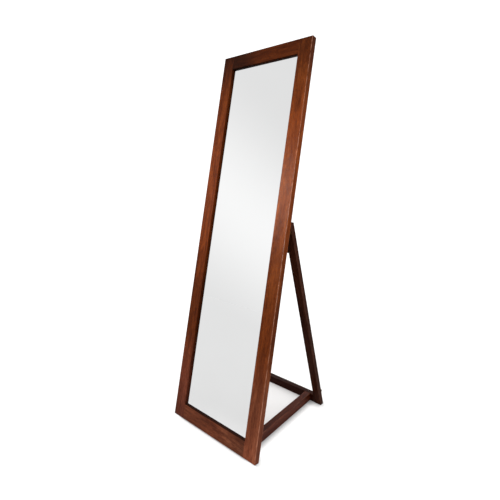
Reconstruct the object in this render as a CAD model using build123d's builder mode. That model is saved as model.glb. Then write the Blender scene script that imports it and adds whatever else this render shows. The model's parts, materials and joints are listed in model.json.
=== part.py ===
"""Folding cheval floor mirror: a framed mirror, a hinged pair of rear legs and a hinged floor base."""

from build123d import *
from math import cos, hypot, radians, sin, tan
import os

os.makedirs("parts", exist_ok=True)

# ---------------------------------------------------------------- driving dimensions (mm, degrees)

FRAME_LENGTH = 1650.0
FRAME_WIDTH = 494.0
FRAME_THICKNESS = 26.0
MEMBER_WIDTH = 62.0
FRAME_LEAN = 13.2
OUTER_ROUND = 3.0
BACK_ROUND = 2.0

REBATE_WIDTH = 8.0
GLASS_RECESS = 9.5
GLASS_THICKNESS = 4.0
BOARD_THICKNESS = 3.0
SHEET_GAP = 0.5
BEAD_SIZE = 8.0
BEAD_ROUND = 2.0
BRAD_RADIUS = 0.7
BRAD_HEAD_RADIUS = 1.3
BRAD_HEAD_THICKNESS = 0.5
BRAD_LENGTH = 18.0
BRADS_PER_SIDE = 6
BRADS_PER_END = 2

LEG_LEAN = 14.4
LEG_FOOT_DISTANCE = 458.0
LEG_WIDTH = 36.0
LEG_THICKNESS = 21.0
LEG_BLUNT_END = 15.0
LEG_RAIL_HEIGHT = 60.0
LEG_RAIL_DROP = 82.0
LEG_ROUND = 1.5

BASE_HEIGHT = 37.0
REAR_RAIL_DEPTH = 24.0
STRETCHER_WIDTH = 30.0
STRETCHER_INSET = 61.5
BASE_ROUND = 2.0
BASE_SIDE_GAP = 1.0

DOWEL_RADIUS = 4.0
DOWEL_LENGTH = 40.0
DOWEL_END_GAP = 0.5
DOWEL_CHAMFER = 0.8
CORNER_DOWEL_UPS = (16.0, 38.0)
LEG_RAIL_DOWEL_STEPS = (-16.0, 16.0)
BASE_DOWEL_HEIGHTS = (11.5, 25.5)

HINGE_WIDTH = 26.0
LEG_LEAF_REACH = 26.0
BASE_LEAF_REACH = 16.0
LEAF_THICKNESS = 2.0
LEAF_CORNER = 2.0
AXIS_HEIGHT = 2.3
KNUCKLE_RADIUS = 3.5
KNUCKLE_GAP = 0.3
PIN_RADIUS = 1.55
PIN_BORE_RADIUS = 1.6
PIN_HEAD_RADIUS = 2.6
PIN_HEAD_THICKNESS = 0.8
RELIEF_RADIUS = 4.0
RELIEF_END_GAP = 1.5
STOP_GAP = 0.4

SCREW_RADIUS = 1.75
SCREW_HEAD_RADIUS = 3.3
SCREW_HEAD_ANGLE = 82.0
SCREW_LENGTH = 15.0
SCREW_TIP_GAP = 1.0
SCREW_SPACING = 15.0
RECESS_LENGTH = 3.4
RECESS_WIDTH = 0.8
RECESS_DEPTH = 1.0
LEG_SCREW_SETBACK = 16.0
BASE_SCREW_SETBACK = 9.5

HOOK_PIVOT_HEIGHT = 56.0
HOOK_STUD_HEIGHT = 24.0
HOOK_STUD_INSET = 13.0
HOOK_THICKNESS = 2.5
HOOK_GAP = 0.6
HOOK_EYE_RADIUS = 6.5
HOOK_BAR_WIDTH = 8.0
HOOK_NOTCH_RADIUS = 3.1
HOOK_END_RADIUS = 7.0
STUD_RADIUS = 2.5
STUD_HEAD_RADIUS = 4.5
STUD_HEAD_THICKNESS = 2.0
STUD_DEPTH = 14.0
POST_SHOULDER_RADIUS = 4.5
POST_JOURNAL_RADIUS = 2.5
HOOK_BORE_RADIUS = 2.6
HEAD_ROUND = 1.2

# ---------------------------------------------------------------- directions and reference points

lean_sin = sin(radians(FRAME_LEAN))
lean_cos = cos(radians(FRAME_LEAN))
leg_sin = sin(radians(LEG_LEAN))
leg_cos = cos(radians(LEG_LEAN))

across = Vector(1, 0, 0)
up_frame = Vector(0, lean_sin, lean_cos)
off_frame = Vector(0, lean_cos, -lean_sin)
up_leg = Vector(0, -leg_sin, leg_cos)
off_leg = Vector(0, leg_cos, leg_sin)

half_width = FRAME_WIDTH / 2
sight_half_width = half_width - MEMBER_WIDTH
rebate_half_width = sight_half_width + REBATE_WIDTH
rebate_depth = FRAME_THICKNESS - GLASS_RECESS
leg_inner = half_width - LEG_WIDTH
rail_half_length = leg_inner - BASE_SIDE_GAP
stretcher_outer = half_width - STRETCHER_INSET
stretcher_centre = stretcher_outer - STRETCHER_WIDTH / 2

# The footprint runs from the rounded lower front edge of the frame to the heads of the latch studs.
front_reach = (lean_sin + lean_cos - 1) * OUTER_ROUND
stud_reach = HOOK_GAP * 2 + HOOK_THICKNESS + STUD_HEAD_THICKNESS
rear_reach = LEG_FOOT_DISTANCE + REAR_RAIL_DEPTH + stud_reach
footprint_centre = (front_reach + rear_reach) / 2

back_edge_y = FRAME_THICKNESS * lean_cos - footprint_centre
leg_foot_y = LEG_FOOT_DISTANCE - footprint_centre
rail_back_y = leg_foot_y + REAR_RAIL_DEPTH


def on_frame(x, up, off):
    """A point given across, up along the frame's back and out behind it."""
    return Vector(x, back_edge_y, 0) + up_frame * up + off_frame * off


def on_leg(x, up, off):
    """A point given across, up along the leg's front face and back through its thickness."""
    return Vector(x, leg_foot_y, 0) + up_leg * up + off_leg * off


def leg_meets_frame(leg_off, frame_off):
    """Distance up the leg at which a line inside its thickness reaches a plane behind the frame."""
    start = on_leg(0, 0, leg_off) - on_frame(0, 0, frame_off)
    return -start.dot(off_frame) / up_leg.dot(off_frame)


def stretcher_front_y(height, frame_off):
    """Y of the plane behind the frame's back at a height above the floor."""
    return back_edge_y + (frame_off + height * lean_sin) / lean_cos


leg_axis_up = leg_meets_frame(-AXIS_HEIGHT, AXIS_HEIGHT)
leg_axis = on_leg(0, leg_axis_up, -AXIS_HEIGHT)
base_axis_z = BASE_HEIGHT + AXIS_HEIGHT
base_axis = Vector(0, stretcher_front_y(base_axis_z, AXIS_HEIGHT), base_axis_z)
leg_hinge_x = leg_inner + LEG_WIDTH / 2
base_hinge_x = stretcher_centre

frame_section = Plane(origin=on_frame(0, 0, 0), x_dir=across, z_dir=up_frame)
frame_side = Plane(origin=on_frame(0, 0, 0), x_dir=off_frame, z_dir=across)
frame_back = Plane(origin=on_frame(0, 0, 0), x_dir=across, z_dir=-off_frame)
leg_side = Plane(origin=on_leg(0, 0, 0), x_dir=off_leg, z_dir=across)

up_axis = Axis(on_frame(0, 0, 0), up_frame)
off_axis = Axis(on_frame(0, 0, 0), off_frame)


def save(piece, name):
    """Label a finished piece and write it as its own STEP file."""
    piece.part.label = name
    export_step(piece.part, f"parts/{name}.step")


def save_pair(right_piece, name):
    """Write a right-hand piece and its mirror image on the left."""
    with BuildPart() as left_piece:
        mirror(right_piece.part, about=Plane.YZ)
    save(right_piece, f"right_{name}")
    save(left_piece, f"left_{name}")


def cut_axis_relief(axis_point):
    """Clear a round channel for a hinge knuckle along its axis."""
    with Locations(Plane(origin=axis_point, z_dir=across)):
        Cylinder(RELIEF_RADIUS, HINGE_WIDTH + 2 * RELIEF_END_GAP, mode=Mode.SUBTRACT)


def leaf_seats(axis_point, along, outward, setback, depth=0.0):
    """Planes at the two screw positions of a hinge leaf, that far below its outer face."""
    face_height = AXIS_HEIGHT - LEAF_THICKNESS + depth
    centre = axis_point + along * setback - outward * face_height
    return [
        Plane(origin=centre + across * (side * SCREW_SPACING / 2), x_dir=across, z_dir=outward)
        for side in (-1, 1)
    ]


def cut_screw_holes(axis_point, along, outward, setback):
    """Drill the holes for a leaf's screws in the wood under the leaf."""
    with Locations(*leaf_seats(axis_point, along, outward, setback, LEAF_THICKNESS)):
        Hole(radius=SCREW_RADIUS, depth=SCREW_LENGTH - LEAF_THICKNESS + SCREW_TIP_GAP)


# ---------------------------------------------------------------- mirror frame

corner_dowels = [(sight_half_width, up) for up in CORNER_DOWEL_UPS]
corner_dowels += [(sight_half_width, FRAME_LENGTH - up) for _, up in corner_dowels]
dowel_hole_depth = DOWEL_LENGTH / 2 + DOWEL_END_GAP
frame_mid_off = -FRAME_THICKNESS / 2
bead_mid_off = -rebate_depth + GLASS_THICKNESS + BOARD_THICKNESS + BEAD_SIZE / 2
bead_length = FRAME_LENGTH - 2 * (MEMBER_WIDTH - REBATE_WIDTH)
brad_pitch = bead_length / BRADS_PER_SIDE
first_brad_up = (FRAME_LENGTH - brad_pitch * (BRADS_PER_SIDE - 1)) / 2
side_brad_ups = [first_brad_up + brad_pitch * i for i in range(BRADS_PER_SIDE)]
end_brad_xs = [sight_half_width * (2 * i - 1) / 2 for i in range(BRADS_PER_END)]
end_bead_wall = MEMBER_WIDTH - REBATE_WIDTH

leg_hinge_point = leg_axis + across * leg_hinge_x
base_hinge_point = base_axis + across * base_hinge_x

with BuildPart() as stile:
    with BuildSketch(frame_section):
        with Locations((half_width - MEMBER_WIDTH / 2, frame_mid_off)):
            Rectangle(MEMBER_WIDTH, FRAME_THICKNESS)
    extrude(amount=FRAME_LENGTH)
    outer_edges = stile.edges().filter_by(up_axis).sort_by(Axis.X)[-2:]
    front_edge = outer_edges.sort_by(off_axis)[:1]
    end_edges = stile.edges().filter_by(Axis.X).sort_by(off_axis)
    fillet(front_edge + end_edges[:2], OUTER_ROUND)
    with BuildSketch(frame_section.offset(end_bead_wall)):
        with Locations((sight_half_width, 0)):
            Rectangle(2 * REBATE_WIDTH, 2 * rebate_depth)
    extrude(amount=bead_length, mode=Mode.SUBTRACT)
    outer_back = stile.edges().filter_by(up_axis).sort_by(Axis.X)[-2:].sort_by(off_axis)[-1:]
    fillet(outer_back, BACK_ROUND)
    with Locations(*[Plane(origin=on_frame(x, up, frame_mid_off), z_dir=-across) for x, up in corner_dowels]):
        Hole(radius=DOWEL_RADIUS, depth=dowel_hole_depth)
    with Locations(
        *[Plane(origin=on_frame(rebate_half_width, up, bead_mid_off), z_dir=-across) for up in side_brad_ups]
    ):
        Hole(radius=BRAD_RADIUS, depth=BRAD_LENGTH - BEAD_SIZE)
    cut_axis_relief(leg_hinge_point)
    cut_screw_holes(leg_hinge_point, -up_frame, off_frame, LEG_SCREW_SETBACK)
save_pair(stile, "stile")


def build_frame_rail(name, low, sight_side):
    """A horizontal frame rail between the stiles, with its rebate on the side of the glass."""
    rebate_up = low + MEMBER_WIDTH if sight_side > 0 else low
    outer_up = low if sight_side > 0 else low + MEMBER_WIDTH
    with BuildPart() as rail:
        with BuildSketch(frame_side.offset(-sight_half_width)):
            with Locations((frame_mid_off, low + MEMBER_WIDTH / 2)):
                Rectangle(FRAME_THICKNESS, MEMBER_WIDTH)
        extrude(amount=2 * sight_half_width)
        outer_front = rail.edges().filter_by(Axis.X).sort_by_distance(on_frame(0, outer_up, -FRAME_THICKNESS))
        fillet(outer_front[:1], OUTER_ROUND)
        with BuildSketch(frame_side.offset(-sight_half_width)):
            with Locations((0, rebate_up)):
                Rectangle(2 * rebate_depth, 2 * REBATE_WIDTH)
        extrude(amount=2 * sight_half_width, mode=Mode.SUBTRACT)
        for side in (-1, 1):
            with Locations(
                *[
                    Plane(origin=on_frame(side * x, up, frame_mid_off), z_dir=across * side)
                    for x, up in corner_dowels
                    if low < up < low + MEMBER_WIDTH
                ]
            ):
                Hole(radius=DOWEL_RADIUS, depth=dowel_hole_depth)
        wall_up = rebate_up - sight_side * REBATE_WIDTH
        brad_points = [on_frame(x, wall_up, bead_mid_off) for x in end_brad_xs]
        with Locations(*[Plane(origin=point, z_dir=up_frame * sight_side) for point in brad_points]):
            Hole(radius=BRAD_RADIUS, depth=BRAD_LENGTH - BEAD_SIZE)
        if sight_side > 0:
            for side in (-1, 1):
                hinge_point = base_axis + across * (side * base_hinge_x)
                cut_axis_relief(hinge_point)
                cut_screw_holes(hinge_point, up_frame, off_frame, BASE_SCREW_SETBACK)
    save(rail, name)


build_frame_rail("bottom_rail", 0.0, 1)
build_frame_rail("top_rail", FRAME_LENGTH - MEMBER_WIDTH, -1)

with BuildPart() as frame_dowels:
    with Locations(
        *[
            Plane(origin=on_frame(side * x, up, frame_mid_off), z_dir=across)
            for side in (-1, 1)
            for x, up in corner_dowels
        ]
    ):
        Cylinder(DOWEL_RADIUS, DOWEL_LENGTH)
    chamfer(frame_dowels.edges().filter_by(GeomType.CIRCLE), DOWEL_CHAMFER)
save(frame_dowels, "frame_dowels")

sheet_width = 2 * (rebate_half_width - SHEET_GAP)
sheet_length = bead_length - 2 * SHEET_GAP
board_plane = frame_back.offset(rebate_depth - GLASS_THICKNESS - BOARD_THICKNESS)
glass_plane = frame_back.offset(rebate_depth - GLASS_THICKNESS)

with BuildPart() as mirror_glass:
    with BuildSketch(glass_plane):
        with Locations((0, FRAME_LENGTH / 2)):
            Rectangle(sheet_width, sheet_length)
    extrude(amount=GLASS_THICKNESS)
save(mirror_glass, "mirror_glass")

with BuildPart() as backing_panel:
    with BuildSketch(board_plane):
        with Locations((0, FRAME_LENGTH / 2)):
            Rectangle(sheet_width, sheet_length)
    extrude(amount=BOARD_THICKNESS)
save(backing_panel, "backing_panel")


def cut_brad_holes(heads):
    """Drill a strip for its brads, with a shallow seat for each head."""
    with Locations(*heads):
        CounterBoreHole(BRAD_RADIUS, BRAD_HEAD_RADIUS, BRAD_HEAD_THICKNESS, BRAD_LENGTH)


side_brad_heads = [
    Plane(origin=on_frame(sight_half_width, up, bead_mid_off), z_dir=-across) for up in side_brad_ups
]
with BuildPart() as side_bead:
    with BuildSketch(frame_section.offset(end_bead_wall)):
        with Locations((sight_half_width + BEAD_SIZE / 2, bead_mid_off)):
            Rectangle(BEAD_SIZE, BEAD_SIZE)
    extrude(amount=bead_length)
    inner_edges = side_bead.edges().filter_by(up_axis).sort_by(Axis.X)[:2]
    fillet(inner_edges.sort_by(off_axis)[-1:], BEAD_ROUND)
    cut_brad_holes(side_brad_heads)
save_pair(side_bead, "bead")

end_brad_heads = {}
for name, wall_up, sight_side in (
    ("bottom_bead", end_bead_wall, 1),
    ("top_bead", FRAME_LENGTH - end_bead_wall, -1),
):
    sight_up = wall_up + sight_side * BEAD_SIZE
    end_brad_heads[name] = [
        Plane(origin=on_frame(x, sight_up, bead_mid_off), z_dir=up_frame * sight_side) for x in end_brad_xs
    ]
    with BuildPart() as end_bead:
        with BuildSketch(frame_side.offset(-sight_half_width)):
            with Locations((bead_mid_off, (wall_up + sight_up) / 2)):
                Rectangle(BEAD_SIZE, BEAD_SIZE)
        extrude(amount=2 * sight_half_width)
        exposed = on_frame(0, sight_up, bead_mid_off + BEAD_SIZE / 2)
        fillet(end_bead.edges().filter_by(Axis.X).sort_by_distance(exposed)[:1], BEAD_ROUND)
        cut_brad_holes(end_brad_heads[name])
    save(end_bead, name)

left_brad_heads = [
    Plane(origin=on_frame(-sight_half_width, up, bead_mid_off), z_dir=across) for up in side_brad_ups
]
all_brad_heads = side_brad_heads + left_brad_heads
all_brad_heads += end_brad_heads["bottom_bead"] + end_brad_heads["top_bead"]
to_top = (Align.CENTER, Align.CENTER, Align.MAX)
with BuildPart() as bead_brads:
    with Locations(*all_brad_heads):
        Cylinder(BRAD_RADIUS, BRAD_LENGTH, align=to_top)
        Cylinder(BRAD_HEAD_RADIUS, BRAD_HEAD_THICKNESS, align=to_top)
save(bead_brads, "bead_brads")

# ---------------------------------------------------------------- leg frame

# The top of a leg is bevelled to stand against the frame and cut off square to the frame's back.
opening = radians(FRAME_LEAN + LEG_LEAN)
bevel_end_off = LEG_THICKNESS - LEG_BLUNT_END * cos(opening)
bevel_end_up = leg_meets_frame(bevel_end_off, STOP_GAP)
blunt_end_up = bevel_end_up - LEG_BLUNT_END * sin(opening)
foot_rise = LEG_THICKNESS * leg_sin / leg_cos

with BuildPart() as leg:
    with BuildSketch(leg_side.offset(leg_inner)):
        with BuildLine():
            Polyline(
                (0, 0),
                (0, leg_meets_frame(0, STOP_GAP)),
                (bevel_end_off, bevel_end_up),
                (LEG_THICKNESS, blunt_end_up),
                (LEG_THICKNESS, -foot_rise),
                close=True,
            )
        make_face()
    extrude(amount=LEG_WIDTH)
    fillet(leg.edges().filter_by(Axis(leg_axis, up_leg)), LEG_ROUND)
    cut_axis_relief(leg_hinge_point)
    cut_screw_holes(leg_hinge_point, -up_leg, -off_leg, LEG_SCREW_SETBACK)
    rail_middle_up = leg_axis_up - LEG_RAIL_DROP
    leg_rail_dowel_ups = [rail_middle_up + step for step in LEG_RAIL_DOWEL_STEPS]
    with Locations(
        *[Plane(origin=on_leg(leg_inner, up, LEG_THICKNESS / 2), z_dir=-across) for up in leg_rail_dowel_ups]
    ):
        Hole(radius=DOWEL_RADIUS, depth=dowel_hole_depth)
    leg_back_y = leg_foot_y + (LEG_THICKNESS - HOOK_PIVOT_HEIGHT * leg_sin) / leg_cos
    post_point = Vector(leg_hinge_x, leg_back_y, HOOK_PIVOT_HEIGHT)
    with Locations(Plane(origin=post_point + Vector(0, LEG_THICKNESS, 0), z_dir=(0, 1, 0))):
        Hole(radius=STUD_RADIUS, depth=LEG_THICKNESS + STUD_DEPTH)
save_pair(leg, "leg")

with BuildPart() as leg_top_rail:
    with BuildSketch(leg_side.offset(-leg_inner)):
        with Locations((LEG_THICKNESS / 2, rail_middle_up)):
            Rectangle(LEG_THICKNESS, LEG_RAIL_HEIGHT)
    extrude(amount=2 * leg_inner)
    fillet(leg_top_rail.edges().filter_by(Axis.X), LEG_ROUND)
    for side in (-1, 1):
        with Locations(
            *[
                Plane(origin=on_leg(side * leg_inner, up, LEG_THICKNESS / 2), z_dir=across * side)
                for up in leg_rail_dowel_ups
            ]
        ):
            Hole(radius=DOWEL_RADIUS, depth=dowel_hole_depth)
save(leg_top_rail, "leg_top_rail")

with BuildPart() as leg_rail_dowels:
    with Locations(
        *[
            Plane(origin=on_leg(side * leg_inner, up, LEG_THICKNESS / 2), z_dir=across)
            for side in (-1, 1)
            for up in leg_rail_dowel_ups
        ]
    ):
        Cylinder(DOWEL_RADIUS, DOWEL_LENGTH)
    chamfer(leg_rail_dowels.edges().filter_by(GeomType.CIRCLE), DOWEL_CHAMFER)
save(leg_rail_dowels, "leg_rail_dowels")

# ---------------------------------------------------------------- floor base

stud_point = Vector(leg_inner - HOOK_STUD_INSET, rail_back_y, HOOK_STUD_HEIGHT)

with BuildPart() as stretcher:
    with BuildSketch(Plane.YZ.offset(stretcher_outer - STRETCHER_WIDTH)):
        with BuildLine():
            Polyline(
                (stretcher_front_y(0, STOP_GAP), 0),
                (leg_foot_y, 0),
                (leg_foot_y, BASE_HEIGHT),
                (stretcher_front_y(BASE_HEIGHT, STOP_GAP), BASE_HEIGHT),
                close=True,
            )
        make_face()
    extrude(amount=STRETCHER_WIDTH)
    fillet(stretcher.edges().filter_by(Axis.Y), BASE_ROUND)
    cut_axis_relief(base_hinge_point)
    cut_screw_holes(base_hinge_point, Vector(0, 1, 0), Vector(0, 0, 1), BASE_SCREW_SETBACK)
    with Locations(
        *[Plane(origin=(stretcher_centre, leg_foot_y, z), z_dir=(0, 1, 0)) for z in BASE_DOWEL_HEIGHTS]
    ):
        Hole(radius=DOWEL_RADIUS, depth=dowel_hole_depth)
save_pair(stretcher, "stretcher")

with BuildPart() as rear_rail:
    with BuildSketch(Plane.YZ.offset(-rail_half_length)):
        with Locations((leg_foot_y + REAR_RAIL_DEPTH / 2, BASE_HEIGHT / 2)):
            Rectangle(REAR_RAIL_DEPTH, BASE_HEIGHT)
    extrude(amount=2 * rail_half_length)
    fillet(rear_rail.edges().filter_by(Axis.X), BASE_ROUND)
    for side in (-1, 1):
        with Locations(
            *[
                Plane(origin=(side * stretcher_centre, leg_foot_y, z), z_dir=(0, -1, 0))
                for z in BASE_DOWEL_HEIGHTS
            ]
        ):
            Hole(radius=DOWEL_RADIUS, depth=dowel_hole_depth)
        with Locations(Plane(origin=(side * stud_point.X, stud_point.Y, stud_point.Z), z_dir=(0, 1, 0))):
            Hole(radius=STUD_RADIUS, depth=STUD_DEPTH)
save(rear_rail, "rear_rail")

with BuildPart() as base_dowels:
    with Locations(
        *[
            Plane(origin=(side * stretcher_centre, leg_foot_y, z), z_dir=(0, 1, 0))
            for side in (-1, 1)
            for z in BASE_DOWEL_HEIGHTS
        ]
    ):
        Cylinder(DOWEL_RADIUS, DOWEL_LENGTH)
    chamfer(base_dowels.edges().filter_by(GeomType.CIRCLE), DOWEL_CHAMFER)
save(base_dowels, "base_dowels")

# ---------------------------------------------------------------- butt hinges

knuckle_length = (HINGE_WIDTH - 2 * KNUCKLE_GAP) / 3
middle_start = -knuckle_length / 2
outer_knuckles = [(-HINGE_WIDTH / 2, knuckle_length), (HINGE_WIDTH / 2 - knuckle_length, knuckle_length)]
middle_knuckle = [(middle_start, knuckle_length)]
plate_start = KNUCKLE_RADIUS + KNUCKLE_GAP
plate_middle = LEAF_THICKNESS / 2 - AXIS_HEIGHT


def build_leaf(axis_point, along, outward, knuckles, reach, setback):
    """One hinge leaf: a countersunk plate on the wood and its knuckles round the pin."""
    side_plane = Plane(origin=axis_point, x_dir=along, z_dir=along.cross(outward))
    with BuildPart() as leaf:
        with BuildSketch(side_plane):
            with Locations(((plate_start + reach) / 2, plate_middle)):
                Rectangle(reach - plate_start, LEAF_THICKNESS)
        extrude(amount=HINGE_WIDTH / 2, both=True)
        far_corners = leaf.edges().filter_by(Axis(axis_point, outward)).sort_by(Axis(axis_point, along))[-2:]
        fillet(far_corners, LEAF_CORNER)
        for start, length in knuckles:
            with BuildSketch(side_plane.offset(start)):
                Circle(KNUCKLE_RADIUS)
                with Locations((plate_start / 2, plate_middle)):
                    Rectangle(plate_start, LEAF_THICKNESS)
            extrude(amount=length)
        with BuildSketch(side_plane):
            Circle(PIN_BORE_RADIUS)
        extrude(amount=HINGE_WIDTH, both=True, mode=Mode.SUBTRACT)
        with Locations(*leaf_seats(axis_point, along, outward, setback)):
            CounterSinkHole(SCREW_RADIUS, SCREW_HEAD_RADIUS, LEAF_THICKNESS, SCREW_HEAD_ANGLE)
    return leaf


def build_pin(axis_point):
    """A hinge pin with a low head at each end."""
    with BuildPart() as pin:
        with Locations(Plane(origin=axis_point, z_dir=across)):
            Cylinder(PIN_RADIUS, HINGE_WIDTH)
        for side in (-1, 1):
            end_middle = axis_point + across * (side * (HINGE_WIDTH + PIN_HEAD_THICKNESS) / 2)
            with Locations(Plane(origin=end_middle, z_dir=across)):
                Cylinder(PIN_HEAD_RADIUS, PIN_HEAD_THICKNESS)
    return pin


def cut_cross_recesses(*heads):
    """Cut a cross-shaped driver recess into each head."""
    with Locations(*heads):
        Box(RECESS_LENGTH, RECESS_WIDTH, RECESS_DEPTH, align=to_top, mode=Mode.SUBTRACT)
        Box(RECESS_WIDTH, RECESS_LENGTH, RECESS_DEPTH, align=to_top, mode=Mode.SUBTRACT)


def build_screws(axis_point, along, outward, setback):
    """The two countersunk wood screws of a leaf on each side of the mirror."""
    head_height = (SCREW_HEAD_RADIUS - SCREW_RADIUS) / tan(radians(SCREW_HEAD_ANGLE / 2))
    with BuildPart() as screws:
        for side in (-1, 1):
            mirrored_point = Vector(side * axis_point.X, axis_point.Y, axis_point.Z)
            with Locations(*leaf_seats(mirrored_point, along, outward, setback)):
                Cylinder(SCREW_RADIUS, SCREW_LENGTH, align=to_top)
                Cone(SCREW_RADIUS, SCREW_HEAD_RADIUS, head_height, align=to_top)
            cut_cross_recesses(*leaf_seats(mirrored_point, along, outward, setback))
    return screws


def save_hinges(name, point, frame_way, moving_name, moving_way, moving_outward, reach, setback):
    """Write one pair of hinges: leaves on the frame, leaves on the moving part, pins and screws."""
    save_pair(build_leaf(point, frame_way, off_frame, outer_knuckles, reach, setback), f"{name}_frame_leaf")
    moving_leaf = build_leaf(point, moving_way, moving_outward, middle_knuckle, reach, setback)
    save_pair(moving_leaf, f"{name}_{moving_name}_leaf")
    save_pair(build_pin(point), f"{name}_pin")
    save(build_screws(point, frame_way, off_frame, setback), f"{name}_frame_screws")
    save(build_screws(point, moving_way, moving_outward, setback), f"{name}_{moving_name}_screws")


save_hinges(
    "leg_hinge", leg_hinge_point, -up_frame, "leg", -up_leg, -off_leg, LEG_LEAF_REACH, LEG_SCREW_SETBACK
)
save_hinges(
    "base_hinge",
    base_hinge_point,
    up_frame,
    "base",
    Vector(0, 1, 0),
    Vector(0, 0, 1),
    BASE_LEAF_REACH,
    BASE_SCREW_SETBACK,
)

# ---------------------------------------------------------------- latch hooks

hook_across = post_point.X - stud_point.X
hook_drop = HOOK_PIVOT_HEIGHT - HOOK_STUD_HEIGHT
hook_reach = hypot(hook_across, hook_drop)
hook_front_y = rail_back_y + HOOK_GAP
hook_rear_y = hook_front_y + HOOK_THICKNESS
head_front_y = hook_rear_y + HOOK_GAP

hook_back = Plane(origin=(post_point.X, hook_rear_y, HOOK_PIVOT_HEIGHT), x_dir=across, z_dir=(0, -1, 0))

with BuildPart() as hook:
    with BuildSketch(hook_back):
        Circle(HOOK_EYE_RADIUS)
        with Locations((0, -hook_reach / 2)):
            Rectangle(HOOK_BAR_WIDTH, hook_reach)
        with Locations((0, -hook_reach)):
            Circle(HOOK_END_RADIUS)
            Circle(HOOK_NOTCH_RADIUS, mode=Mode.SUBTRACT)
        with Locations((HOOK_END_RADIUS / 2, -hook_reach)):
            Rectangle(HOOK_END_RADIUS, 2 * HOOK_NOTCH_RADIUS, mode=Mode.SUBTRACT)
        Circle(HOOK_BORE_RADIUS, mode=Mode.SUBTRACT)
    extrude(amount=HOOK_THICKNESS)
save_pair(hook, "hook")


def add_turned(x, z, radius, start_y, end_y):
    """A round length along Y between two depths."""
    with Locations(Plane(origin=(x, (start_y + end_y) / 2, z), z_dir=(0, 1, 0))):
        Cylinder(radius, end_y - start_y)


def round_heads(turned):
    """Round the rear rims of the turned heads."""
    fillet(turned.edges().filter_by(GeomType.CIRCLE).group_by(Axis.Y)[-1], HEAD_ROUND)


head_rear_y = head_front_y + STUD_HEAD_THICKNESS

with BuildPart() as hook_studs:
    for side in (-1, 1):
        x = side * stud_point.X
        add_turned(x, HOOK_STUD_HEIGHT, STUD_RADIUS, rail_back_y - STUD_DEPTH, head_front_y)
        add_turned(x, HOOK_STUD_HEIGHT, STUD_HEAD_RADIUS, head_front_y, head_rear_y)
    round_heads(hook_studs)
save(hook_studs, "hook_studs")

with BuildPart() as hook_posts:
    shoulder_start_y = leg_back_y + POST_SHOULDER_RADIUS * tan(radians(LEG_LEAN))
    shoulder_end_y = hook_front_y - HOOK_GAP / 2
    for side in (-1, 1):
        x = side * post_point.X
        add_turned(x, HOOK_PIVOT_HEIGHT, STUD_RADIUS, leg_back_y - STUD_DEPTH, shoulder_end_y)
        add_turned(x, HOOK_PIVOT_HEIGHT, POST_SHOULDER_RADIUS, shoulder_start_y, shoulder_end_y)
        add_turned(x, HOOK_PIVOT_HEIGHT, POST_JOURNAL_RADIUS, shoulder_end_y, head_front_y)
        add_turned(x, HOOK_PIVOT_HEIGHT, STUD_HEAD_RADIUS, head_front_y, head_rear_y)
    round_heads(hook_posts)
    for side in (-1, 1):
        head_middle = Vector(side * post_point.X, head_rear_y, HOOK_PIVOT_HEIGHT)
        cut_cross_recesses(Plane(origin=head_middle, x_dir=across, z_dir=(0, 1, 0)))
save(hook_posts, "hook_posts")
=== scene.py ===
import json
import math

import bmesh
import bpy
from mathutils import Euler, Matrix, Vector


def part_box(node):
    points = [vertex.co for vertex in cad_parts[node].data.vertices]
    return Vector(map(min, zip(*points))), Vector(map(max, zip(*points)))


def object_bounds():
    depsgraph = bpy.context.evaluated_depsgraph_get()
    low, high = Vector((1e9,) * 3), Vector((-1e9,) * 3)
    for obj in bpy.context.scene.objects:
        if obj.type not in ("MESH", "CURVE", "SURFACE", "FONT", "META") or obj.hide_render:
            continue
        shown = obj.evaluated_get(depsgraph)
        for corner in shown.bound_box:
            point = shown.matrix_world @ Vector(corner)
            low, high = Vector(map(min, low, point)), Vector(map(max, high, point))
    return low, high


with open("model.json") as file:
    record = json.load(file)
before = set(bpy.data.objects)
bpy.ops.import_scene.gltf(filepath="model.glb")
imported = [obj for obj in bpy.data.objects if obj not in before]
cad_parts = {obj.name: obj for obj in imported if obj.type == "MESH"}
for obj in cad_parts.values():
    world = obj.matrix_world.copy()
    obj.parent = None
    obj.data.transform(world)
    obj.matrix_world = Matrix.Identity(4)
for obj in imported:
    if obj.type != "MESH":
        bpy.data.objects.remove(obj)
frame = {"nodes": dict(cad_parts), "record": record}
cad_low, cad_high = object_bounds()

# Looks of the folding cheval floor mirror. Lengths are in metres.

FRAME_LEAN = math.radians(13.2)
LEG_LEAN = math.radians(14.4)
UP_FRAME = Vector((0, math.sin(FRAME_LEAN), math.cos(FRAME_LEAN)))

# Turns that bring the length of a piece onto the local Z axis of its grain.
ALONG_FRAME = Euler((FRAME_LEAN, 0, 0))
ACROSS_FRAME = Euler((FRAME_LEAN, -math.pi / 2, 0))
ALONG_LEG = Euler((-LEG_LEAN, 0, 0))
ACROSS_LEG = Euler((-LEG_LEAN, -math.pi / 2, 0))
ALONG_Y = Euler((math.pi / 2, 0, 0))
ACROSS_FLOOR = Euler((0, -math.pi / 2, 0))


# ---------------------------------------------------------------- node helpers


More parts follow.
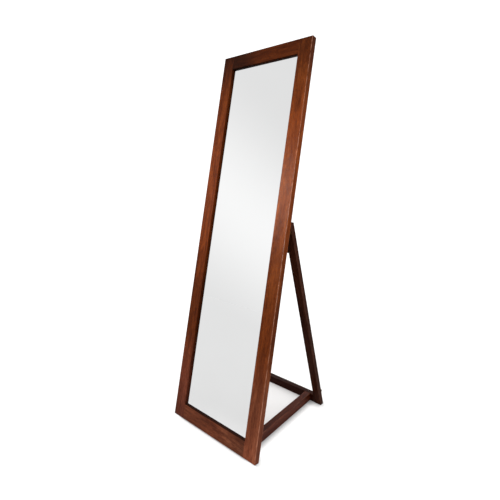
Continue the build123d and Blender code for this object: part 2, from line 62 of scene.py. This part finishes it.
class Looks:
    """A material under construction: adds nodes to its tree and links them to the shader."""

    def __init__(self, name, **shader_values):
        self.material = bpy.data.materials.new(name)
        self.material.use_nodes = True
        self.tree = self.material.node_tree
        self.shader = self.tree.nodes["Principled BSDF"]
        for socket, value in shader_values.items():
            self.shader.inputs[socket.replace("_", " ")].default_value = value

    def add(self, kind, inputs=(), **settings):
        """Add a node, with values or other nodes' outputs for its inputs."""
        node = self.tree.nodes.new(kind)
        for name, value in settings.items():
            setattr(node, name, value)
        for key, value in dict(inputs).items():
            if isinstance(value, bpy.types.NodeSocket):
                self.tree.links.new(value, node.inputs[key])
            else:
                node.inputs[key].default_value = value
        return node

    def math(self, operation, first, second=0.0, clamp=False):
        """One arithmetic step."""
        node = self.add("ShaderNodeMath", {0: first, 1: second}, operation=operation, use_clamp=clamp)
        return node.outputs[0]

    def vector_math(self, operation, first, second=(0, 0, 0), output="Vector"):
        """One vector step."""
        node = self.add("ShaderNodeVectorMath", {0: first, 1: second}, operation=operation)
        return node.outputs[output]

    def split(self, vector):
        """The X, Y and Z outputs of a vector."""
        return self.add("ShaderNodeSeparateXYZ", {0: vector}).outputs

    def place(self, coordinates="Object"):
        """Coordinates of the point being shaded."""
        return self.add("ShaderNodeTexCoord").outputs[coordinates]

    def openness(self, reach):
        """How open the space within reach of the surface is, from 0 to 1."""
        return self.add("ShaderNodeAmbientOcclusion", {"Distance": reach}).outputs["AO"]

    def noise(self, vector, scale, detail=2.0, roughness=0.5, distortion=0.0):
        """A noise pattern from 0 to 1, with one scale or one for each axis."""
        if isinstance(scale, tuple):
            vector = self.vector_math("MULTIPLY", vector, scale)
            scale = 1.0
        inputs = {
            "Vector": vector,
            "Scale": scale,
            "Detail": detail,
            "Roughness": roughness,
            "Distortion": distortion,
        }
        return self.add("ShaderNodeTexNoise", inputs).outputs["Fac"]

    def stretch(self, value, low, high, to_low=0.0, to_high=1.0, smooth=True):
        """Move a value from one span to another, held at its ends."""
        spans = {"Value": value, "From Min": low, "From Max": high, "To Min": to_low, "To Max": to_high}
        kind = "SMOOTHSTEP" if smooth else "LINEAR"
        return self.add("ShaderNodeMapRange", spans, interpolation_type=kind).outputs["Result"]

    def ramp(self, value, stops):
        """A colour ramp from (position, colour) stops."""
        node = self.add("ShaderNodeValToRGB", {"Fac": value})
        elements = node.color_ramp.elements
        while len(elements) < len(stops):
            elements.new(0.5)
        for element, (position, colour) in zip(elements, stops):
            element.position = position
            element.color = (*colour, 1)
        return node.outputs["Color"]

    def mix(self, factor, first, second, blend="MIX"):
        """Mix two colours."""
        node = self.add("ShaderNodeMix", data_type="RGBA", blend_type=blend, clamp_factor=True)
        for index, value in ((0, factor), (6, first), (7, second)):
            if isinstance(value, bpy.types.NodeSocket):
                self.tree.links.new(value, node.inputs[index])
            elif index == 0:
                node.inputs[index].default_value = value
            else:
                node.inputs[index].default_value = (*value, 1)
        return node.outputs[2]

    def set(self, socket, output):
        """Link an output to the shader."""
        self.tree.links.new(output, self.shader.inputs[socket])

    def bump(self, height, distance, strength=1.0):
        """Raise the surface by a height pattern."""
        node = self.add("ShaderNodeBump", {"Height": height, "Distance": distance, "Strength": strength})
        self.set("Normal", node.outputs["Normal"])


def paint(node_name, looks):
    """Give a CAD node's object one material."""
    slots = frame["nodes"][node_name].data.materials
    slots.clear()
    slots.append(looks.material)


def turned_box(node_name, turn):
    """Middle and half size of a node's mesh in its own turned axes."""
    matrix = turn.to_matrix()
    points = [matrix @ v.co for v in frame["nodes"][node_name].data.vertices]
    low = Vector([min(p[i] for p in points) for i in range(3)])
    high = Vector([max(p[i] for p in points) for i in range(3)])
    return (low + high) / 2, (high - low) / 2


# ---------------------------------------------------------------- wood

# Noise scales across and along the grain.
BEND_SCALE = (9, 9, 2.2)
FIGURE_SCALE = (20, 20, 3.2)
STREAK_SCALE = (130, 130, 11)
FLECK_SCALE = (210, 210, 55)
FIBRE_SCALE = (700, 700, 14)
PORE_SCALE = (1500, 1500, 45)
PALE_EDGE_SCALE = (90, 90, 30)

# How far one seed's pattern lies from the next.
SEED_STEP = (1.37, 0.61, 2.11)
SWAY = 0.012
PORE_SHADE = 0.45
PORE_TONE = 0.35
END_GRAIN_SHADE = 0.7
END_GRAIN_TONE = 0.5
GLOSSY, DULLER = 0.27, 0.39
PORE_ROUGHNESS = 0.12
WALL_ROUGHNESS = 0.5
GRAIN_DEPTH = 0.00018
FIBRE_RISE, PORE_DROP = 0.35, 0.6
# Reach and fade of the pale edges, partly wear and partly a painted highlight, and their colour gain.
EDGE_REACH = 0.0032
EDGE_FULL = 0.0006
PALE_EDGE_FADE = 0.01
PALE_EDGE_GAIN = Vector((2.4, 1.15, 0.75))
# Gains along a piece are kept in a colour ramp as parts of this largest one.
ALONG_GAIN_PEAK = 6.0


def grain_colour(looks, flowing, streaks, fibres, pore_mask, dark, middle, light):
    """Stain colour with broad figure, long streaks, short flecks, fibres and pores."""
    figure = looks.noise(flowing, FIGURE_SCALE, 4.0, 0.62, 0.8)
    flecks = looks.noise(flowing, FLECK_SCALE, 4.0, 0.7)
    colour = looks.ramp(looks.stretch(figure, 0.12, 0.88), [(0.0, dark), (0.5, middle), (1.0, light)])
    for pattern, low, high, deeper, paler in (
        (streaks, 0.25, 0.75, (0.72, 0.66, 0.62), (1.25, 1.25, 1.25)),
        (flecks, 0.3, 0.7, (0.76, 0.70, 0.66), (1.24, 1.30, 1.30)),
        (fibres, 0.3, 0.7, (0.82, 0.82, 0.82), (1.12, 1.12, 1.12)),
    ):
        tone = looks.ramp(looks.stretch(pattern, low, high), [(0.0, deeper), (1.0, paler)])
        colour = looks.mix(1.0, colour, tone, "MULTIPLY")
    pore_colour = tuple(c * PORE_TONE for c in dark)
    return looks.mix(looks.math("MULTIPLY", pore_mask, PORE_SHADE), colour, pore_colour)


def light_and_tone_along(looks, colour, local, reach, gains_along):
    """Gains that brighten, darken or tint the colour slowly along the piece: on the frame, painted light
    and shade from a broad band of light, and a painted sheen at the lower ends.
    """
    part_way = looks.stretch(looks.split(local)["Z"], -reach, reach, smooth=False)
    along_gain = looks.ramp(part_way, [(position, Vector(gain) / ALONG_GAIN_PEAK) for position, gain in gains_along])
    return looks.mix(1.0, colour, looks.vector_math("MULTIPLY", along_gain, (ALONG_GAIN_PEAK,) * 3), "MULTIPLY")


def pale_edges(looks, local, shifted, half):
    """Where the long edges are paler, in broken patches: partly rubbed wear, partly a painted highlight
    along the rounded edge.
    """
    gaps = looks.vector_math("SUBTRACT", tuple(half), looks.vector_math("ABSOLUTE", local))
    gap = looks.split(gaps)
    edge = looks.math("MAXIMUM", gap["X"], gap["Y"])
    patches = looks.stretch(looks.noise(shifted, PALE_EDGE_SCALE, 4.0, 0.7), 0.36, 0.62)
    return looks.math("MULTIPLY", looks.stretch(edge, EDGE_REACH, EDGE_FULL), patches)


def stained_wood(
    node_name, turn, tones, seed, shine=0.015, inner=None, wall_shade=0.32, gains_along=None, wear_and_highlight=0.4
):
    """Stained and lacquered hardwood with its grain along the piece.

    inner is the direction of the mirror's opening, for the pieces round it.
    """
    dark, middle, light = tones
    middle_point, half = turned_box(node_name, turn)
    looks = Looks(f"{node_name}_wood", Specular_IOR_Level=shine)
    place = looks.add("ShaderNodeTexCoord").outputs
    turned = {"Vector": place["Object"], "Rotation": turn, "Location": -middle_point}
    local = looks.add("ShaderNodeMapping", turned).outputs["Vector"]
    shifted = looks.vector_math("ADD", local, tuple(seed * step for step in SEED_STEP))

    bend = looks.math("SUBTRACT", looks.noise(shifted, BEND_SCALE, 2.0), 0.5)
    sway = looks.add("ShaderNodeCombineXYZ", {"X": looks.math("MULTIPLY", bend, SWAY)}).outputs["Vector"]
    flowing = looks.vector_math("ADD", shifted, sway)
    streaks = looks.noise(flowing, STREAK_SCALE, 5.0, 0.7)
    fibres = looks.noise(flowing, FIBRE_SCALE, 3.0, 0.6)
    pore_mask = looks.stretch(looks.noise(flowing, PORE_SCALE, 2.0, 0.5), 0.60, 0.74)
    colour = grain_colour(looks, flowing, streaks, fibres, pore_mask, dark, middle, light)
    # Painted light and shade, and a painted sheen, along the piece.
    if gains_along:
        colour = light_and_tone_along(looks, colour, local, half.z, gains_along)

    # End grain takes more stain.
    turned_normal = {"Vector": place["Normal"], "Rotation": turn}
    normal = looks.add("ShaderNodeMapping", turned_normal, vector_type="NORMAL").outputs["Vector"]
    facing = looks.math("ABSOLUTE", looks.split(normal)["Z"])
    end_shade = looks.math("MULTIPLY", looks.stretch(facing, 0.75, 0.95), END_GRAIN_SHADE)
    colour = looks.mix(end_shade, colour, tuple(c * END_GRAIN_TONE for c in dark))

    rough = looks.stretch(streaks, 0.2, 0.8, GLOSSY, DULLER)
    rough = looks.math("ADD", rough, looks.math("MULTIPLY", pore_mask, PORE_ROUGHNESS))
    pale_edge_mask = pale_edges(looks, local, shifted, half)
    if inner:
        # The walls of the opening get painted shade and have no polish, and no pale edge is put there.
        inward = looks.vector_math("DOT_PRODUCT", place["Normal"], inner, "Value")
        wall_shade_mask = looks.stretch(inward, 0.7, 0.95)
        deeper = looks.mix(wall_shade_mask, (1, 1, 1), (wall_shade,) * 3)
        colour = looks.mix(1.0, colour, deeper, "MULTIPLY")
        rough = looks.math("ADD", rough, looks.math("MULTIPLY", wall_shade_mask, WALL_ROUGHNESS), clamp=True)
        middle_reach = (turn.to_matrix().inverted() @ middle_point).dot(Vector(inner))
        reach = looks.vector_math("DOT_PRODUCT", place["Object"], inner, "Value")
        outer_side = looks.stretch(reach, middle_reach, middle_reach - PALE_EDGE_FADE)
        pale_edge_mask = looks.math("MULTIPLY", pale_edge_mask, outer_side)
    # Pale edges: partly wear, partly a painted highlight.
    pale_edge_colour = PALE_EDGE_GAIN * light[0]
    looks.set("Base Color", looks.mix(looks.math("MULTIPLY", pale_edge_mask, wear_and_highlight), colour, pale_edge_colour))
    looks.set("Roughness", rough)
    raised = looks.math("MULTIPLY", fibres, FIBRE_RISE)
    sunken = looks.math("MULTIPLY", pore_mask, PORE_DROP)
    looks.bump(looks.math("SUBTRACT", raised, sunken), GRAIN_DEPTH, strength=0.6)
    paint(node_name, looks)


DARK = (0.070, 0.013, 0.002)
MIDDLE = (0.150, 0.031, 0.005)
LIGHT = (0.240, 0.058, 0.010)


def toned(factor, red=1.0, green=1.0, blue=1.0):
    """The three stain tones, all darker or lighter, with more or less of each colour."""
    gains = (factor * red, factor * green, factor * blue)
    return [tuple(c * gain for c, gain in zip(colour, gains)) for colour in (DARK, MIDDLE, LIGHT)]


def even(gain):
    """The same gain for all three colours."""
    return (gain,) * 3


# Gains along a piece, from its lower or left end to the other, for red, green and blue. On the stiles
# they are painted light and shade from a broad band of light; a painted sheen greys the lower ends.
RIGHT_PAINTED_LIGHT = [
    (0.0, (1.45, 1.95, 5.8)),
    (0.12, (1.1, 1.5, 4.2)),
    (0.25, even(0.9)),
    (0.42, even(0.9)),
    (0.58, even(1.45)),
    (0.8, even(1.5)),
    (0.92, even(0.72)),
    (1.0, even(0.5)),
]
LEFT_PAINTED_LIGHT = [
    (0.0, (0.7, 0.9, 3.0)),
    (0.1, (1.2, 1.5, 4.5)),
    (0.24, even(0.8)),
    (0.34, even(0.75)),
    (0.5, even(1.45)),
    (0.7, even(1.55)),
    (0.9, even(0.95)),
    (0.97, even(0.45)),
    (1.0, even(0.3)),
]
# The top rail is darker towards its left end.
TOP_GAINS = [(0.0, even(0.4)), (0.2, even(0.5)), (0.45, even(1.1)), (1.0, even(1.25))]
# A painted sheen turns the whole bottom rail a greyer, cooler brown.
BOTTOM_PAINTED_SHEEN = [(0.0, (1.05, 1.35, 3.6)), (0.5, (1.1, 1.4, 3.8)), (1.0, (0.8, 1.15, 3.5))]

LEFTWARD, RIGHTWARD = (-1, 0, 0), (1, 0, 0)
# The right stile's stronger pale edge is a painted highlight line along its rounded outer edge.
stained_wood(
    "right_stile", ALONG_FRAME, toned(0.62), seed=1, inner=LEFTWARD, gains_along=RIGHT_PAINTED_LIGHT, wear_and_highlight=0.6
)
stained_wood(
    "left_stile", ALONG_FRAME, toned(0.48, 1.08), seed=2, inner=RIGHTWARD, wall_shade=0.65,
    gains_along=LEFT_PAINTED_LIGHT,
)
stained_wood("top_rail", ACROSS_FRAME, toned(0.26, 1.08), seed=3, inner=-UP_FRAME, gains_along=TOP_GAINS)
stained_wood(
    "bottom_rail", ACROSS_FRAME, toned(0.56), seed=4, shine=0.02, inner=UP_FRAME, gains_along=BOTTOM_PAINTED_SHEEN
)
for number, bead in enumerate(("left_bead", "right_bead")):
    stained_wood(bead, ALONG_FRAME, toned(0.8), seed=10 + number)
for number, bead in enumerate(("top_bead", "bottom_bead")):
    stained_wood(bead, ACROSS_FRAME, toned(0.8), seed=12 + number)
for number, leg in enumerate(("left_leg", "right_leg")):
    stained_wood(leg, ALONG_LEG, toned(0.16, 1.08, 1.35, 4.0), seed=20 + number)
stained_wood("leg_top_rail", ACROSS_LEG, toned(0.17, 1.1, 1.5, 4.0), seed=22, shine=0.02)
for number, rail in enumerate(("left_stretcher", "right_stretcher")):
    stained_wood(rail, ALONG_Y, toned(0.26, 1.3, 1.2, 3.0), seed=30 + number, shine=0.05)
stained_wood("rear_rail", ACROSS_FLOOR, toned(0.12, 1.2, 1.2, 3.0), seed=32, shine=0.03)


# ---------------------------------------------------------------- glass, board and metal


def silvered_glass():
    """Mirror glass with a very slight haze."""
    looks = Looks("mirror_silver", Metallic=1.0)
    haze = looks.noise(looks.place(), 3.0, 4.0, 0.6)
    tints = [(0.3, (0.595, 0.597, 0.597)), (0.7, (0.603, 0.605, 0.605))]
    looks.set("Base Color", looks.ramp(haze, tints))
    looks.set("Roughness", looks.stretch(haze, 0.2, 0.8, 0.0, 0.015))
    return looks


def hardboard():
    """Brown pressed fibre board."""
    looks = Looks("hardboard", Specular_IOR_Level=0.3)
    place = looks.place()
    fibre = looks.noise(place, (420, 420, 260), 5.0, 0.7, 1.5)
    blotch = looks.noise(place, 7.0, 4.0, 0.6)
    base = looks.ramp(blotch, [(0.3, (0.17, 0.095, 0.05)), (0.7, (0.235, 0.14, 0.078))])
    speckles = [(0.3, (0.72, 0.70, 0.68)), (0.55, (1, 1, 1)), (0.72, (1.25, 1.22, 1.18))]
    looks.set("Base Color", looks.mix(1.0, base, looks.ramp(fibre, speckles), "MULTIPLY"))
    looks.set("Roughness", looks.stretch(fibre, 0.2, 0.8, 0.5, 0.72))
    looks.bump(fibre, 0.0002, 0.5)
    return looks


def metal(name, bright, dull, rough):
    """Plated metal with fine scratches and tarnish."""
    looks = Looks(name, Metallic=1.0)
    place = looks.place()
    tarnish = looks.noise(place, 90.0, 5.0, 0.65)
    lines = looks.noise(place, (900, 900, 60), 3.0, 0.6)
    colour = looks.ramp(looks.stretch(tarnish, 0.3, 0.7), [(0.0, dull), (1.0, bright)])
    line_tone = looks.ramp(lines, [(0.3, (0.85,) * 3), (0.7, (1.08,) * 3)])
    looks.set("Base Color", looks.mix(1.0, colour, line_tone, "MULTIPLY"))
    looks.set("Roughness", looks.stretch(lines, 0.25, 0.75, rough - 0.08, rough + 0.1))
    looks.bump(lines, 0.00005, 0.5)
    return looks


def plain_beech():
    """Pale dowel wood."""
    looks = Looks("beech", Roughness=0.6)
    grain = looks.noise(looks.place(), (40, 300, 300), 4.0, 0.6)
    looks.set("Base Color", looks.ramp(grain, [(0.3, (0.42, 0.27, 0.15)), (0.7, (0.58, 0.41, 0.25))]))
    looks.bump(grain, 0.0001, 0.4)
    return looks


paint("mirror_glass", silvered_glass())
paint("backing_panel", hardboard())
brass = metal("antique_brass", (0.42, 0.28, 0.11), (0.20, 0.12, 0.045), 0.34)
zinc = metal("dark_zinc", (0.30, 0.28, 0.25), (0.15, 0.14, 0.125), 0.36)
slot_looks = {
    "hinge_brass": brass,
    "screw_brass": brass,
    "hook_steel": zinc,
    "fastener_steel": zinc,
    "dowel_wood": plain_beech(),
}
for subpart in frame["record"]["subparts"]:
    if subpart["material_slot"] in slot_looks:
        paint(subpart["node"], slot_looks[subpart["material_slot"]])

# ---------------------------------------------------------------- studio

scene = bpy.context.scene
scene.view_settings.view_transform = "Standard"

# Surroundings: a white sweep with one soft bright band leaning across it, brighter overhead.
BAND_AXIS = (0.231, -0.281, 0.932)
BAND_MIDDLE = 0.225
BAND_REACH = 0.27
BAND_GAIN = 0.245
SWEEP = 1.25
BRIGHT_CEILING = 2.0
CEILING_START, CEILING_FULL = 0.68, 0.88

FLOOR_HALF = 14
FLOOR_WHITE = 0.64
GLASS_MIDDLE = (0, 0, 0.8)
# The band shows on the floor only from a distance.
FAR_START, FAR_FULL = 3.0, 10.0
# Glow makes up for the light that the mirror keeps off the floor. There is less of it within the base.
FLOOR_GLOW = 0.30
INNER_GLOW = 0.25
SHADE_REACH = 0.4
LIT_FLOOR_EDGE = 0.05
# The contact shadow is narrow beside and behind the stand, and slight in front and within the base.
CONTACT_REACH = 0.04
CONTACT_OPENNESS = 0.35
CONTACT_DARK = 0.28
SLIGHT_CONTACT = 0.15
FRONT_FADE_BEFORE, FRONT_FADE_BEHIND = 0.002, 0.01


def bright_band(looks, direction, plain):
    """Plain brightness with the soft band added where a direction falls in it."""
    along = looks.vector_math("DOT_PRODUCT", direction, BAND_AXIS, "Value")
    off = looks.math("ABSOLUTE", looks.math("SUBTRACT", along, BAND_MIDDLE))
    return looks.stretch(off, 0.0, BAND_REACH, plain * (1 + BAND_GAIN), plain)


def white_floor():
    """White floor with a soft, narrow shadow round the base."""
    base_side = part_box("right_stretcher")[1][0]
    rail_front, rail_back = (corner[1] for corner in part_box("rear_rail"))
    rail_width = rail_back - rail_front
    looks = Looks("floor_white", Roughness=0.9, Specular_IOR_Level=0.0, Emission_Color=(1, 1, 1, 1))
    place = looks.place()
    far = looks.stretch(looks.vector_math("LENGTH", place, output="Value"), FAR_START, FAR_FULL)
    from_glass = looks.vector_math("NORMALIZE", looks.vector_math("SUBTRACT", place, GLASS_MIDDLE))
    band = bright_band(looks, from_glass, FLOOR_WHITE)
    colour = looks.mix(far, (FLOOR_WHITE,) * 3, band)

    off_middle = looks.vector_math("ABSOLUTE", place)
    off_base = looks.split(looks.vector_math("SUBTRACT", off_middle, (base_side, rail_back, 0)))
    off_edge = looks.math("MAXIMUM", off_base["X"], off_base["Y"])
    outside = looks.stretch(off_edge, -rail_width, 0.0)
    front = cad_low.y
    floor_depth = looks.split(place)["Y"]
    behind_front = looks.stretch(floor_depth, front - FRONT_FADE_BEFORE, front + FRONT_FADE_BEHIND)
    shadow_zone = looks.math("MULTIPLY", outside, behind_front)
    shadow_share = looks.stretch(shadow_zone, 0.0, 1.0, SLIGHT_CONTACT, 1.0)
    contact = looks.openness(CONTACT_REACH)
    contact_shadow = looks.stretch(contact, CONTACT_OPENNESS, 1.0, 1 - CONTACT_DARK, 0.0, smooth=False)
    open_sky = looks.math("SUBTRACT", 1.0, looks.math("MULTIPLY", contact_shadow, shadow_share))

    lit_floor = looks.stretch(off_edge, -rail_width, LIT_FLOOR_EDGE)
    shade = looks.math("SUBTRACT", 1.0, looks.openness(SHADE_REACH))
    base_glow = looks.stretch(lit_floor, 0.0, 1.0, INNER_GLOW, FLOOR_GLOW, smooth=False)
    glow = looks.math("ADD", looks.math("MULTIPLY", lit_floor, shade), base_glow)
    looks.set("Base Color", looks.mix(1.0, colour, open_sky, "MULTIPLY"))
    looks.set("Emission Strength", looks.math("MULTIPLY", open_sky, glow))
    return looks


floor_mesh = bpy.data.meshes.new("floor")
floor_builder = bmesh.new()
bmesh.ops.create_grid(floor_builder, x_segments=1, y_segments=1, size=FLOOR_HALF)
floor_builder.to_mesh(floor_mesh)
floor_builder.free()
floor_mesh.materials.append(white_floor().material)
floor = bpy.data.objects.new("floor", floor_mesh)
scene.collection.objects.link(floor)


class Surroundings(Looks):
    """The same node helpers on a world's tree."""

    def __init__(self, world):
        self.tree = world.node_tree
        self.shader = self.tree.nodes["Background"]


studio = bpy.data.worlds.new("studio")
scene.world = studio
studio.use_nodes = True
sweep = Surroundings(studio)
sweep.shader.inputs["Color"].default_value = (1, 1, 1, 1)
toward = sweep.place("Generated")
sweep_band = bright_band(sweep, toward, SWEEP)
ceiling = sweep.stretch(sweep.split(toward)["Z"], CEILING_START, CEILING_FULL, 0.0, BRIGHT_CEILING)
sweep.set("Strength", sweep.math("MAXIMUM", sweep_band, ceiling))


def lit_pieces(name, node_names):
    """A collection of the CAD nodes that a lamp lights."""
    lit = bpy.data.collections.new(name)
    for node_name in node_names:
        lit.objects.link(frame["nodes"][node_name])
    return lit


all_but_glass = lit_pieces("all_but_glass", [name for name in frame["nodes"] if name != "mirror_glass"])
stile_alone = lit_pieces("stile_alone", ["right_stile"])


def add_area_light(name, location, target, size, power, in_reflections, lit):
    """A rectangular lamp that gives some pieces either soft light or only a highlight."""
    data = bpy.data.lights.new(name, "AREA")
    data.shape = "RECTANGLE"
    data.size, data.size_y = size
    data.energy = power
    lamp = bpy.data.objects.new(name, data)
    lamp.location = location
    lamp.rotation_euler = (Vector(target) - Vector(location)).to_track_quat("-Z", "Y").to_euler()
    lamp.visible_glossy = in_reflections
    lamp.visible_diffuse = not in_reflections
    lamp.light_linking.receiver_collection = lit
    scene.collection.objects.link(lamp)


add_area_light(
    "fill", (0.0, -1.15, 1.28), target=(0, 0, 1.0), size=(0.5, 0.5), power=7,
    in_reflections=False, lit=all_but_glass,
)
add_area_light(
    "strip", (-1.333, -1.84, 1.70), target=(0.214, -0.015, 0.982), size=(0.2, 0.75), power=105,
    in_reflections=True, lit=all_but_glass,
)
add_area_light(
    "edge", (1.0, -2.3, 1.65), target=(0.245, -0.05, 0.95), size=(0.3, 0.7), power=1200,
    in_reflections=True, lit=stile_alone,
)

# ---------------------------------------------------------------- camera

# The camera's place is measured from the middle of the CAD box, in parts of its height.
CAMERA_PLACE = Vector((0.67951, -0.70029, 0.18261))
CAMERA_TURN = 0.6645
CAMERA_TILT = -0.1502
CAMERA_ROLL = -0.0061
CAMERA_LENS = 26.442
CAMERA_SENSOR = 36
CAMERA_SHIFT = (-0.0713, -0.0513)

middle = (cad_low + cad_high) / 2
height = cad_high.z - cad_low.z
camera_data = bpy.data.cameras.new("camera")
camera_data.lens = CAMERA_LENS
camera_data.sensor_width = CAMERA_SENSOR
camera_data.shift_x, camera_data.shift_y = CAMERA_SHIFT
camera = bpy.data.objects.new("camera", camera_data)
scene.collection.objects.link(camera)
camera.location = middle + CAMERA_PLACE * height
level_turn = Euler((math.pi / 2 + CAMERA_TILT, 0, CAMERA_TURN)).to_matrix()
camera.rotation_euler = (level_turn @ Matrix.Rotation(CAMERA_ROLL, 3, "Z")).to_euler()
scene.camera = camera
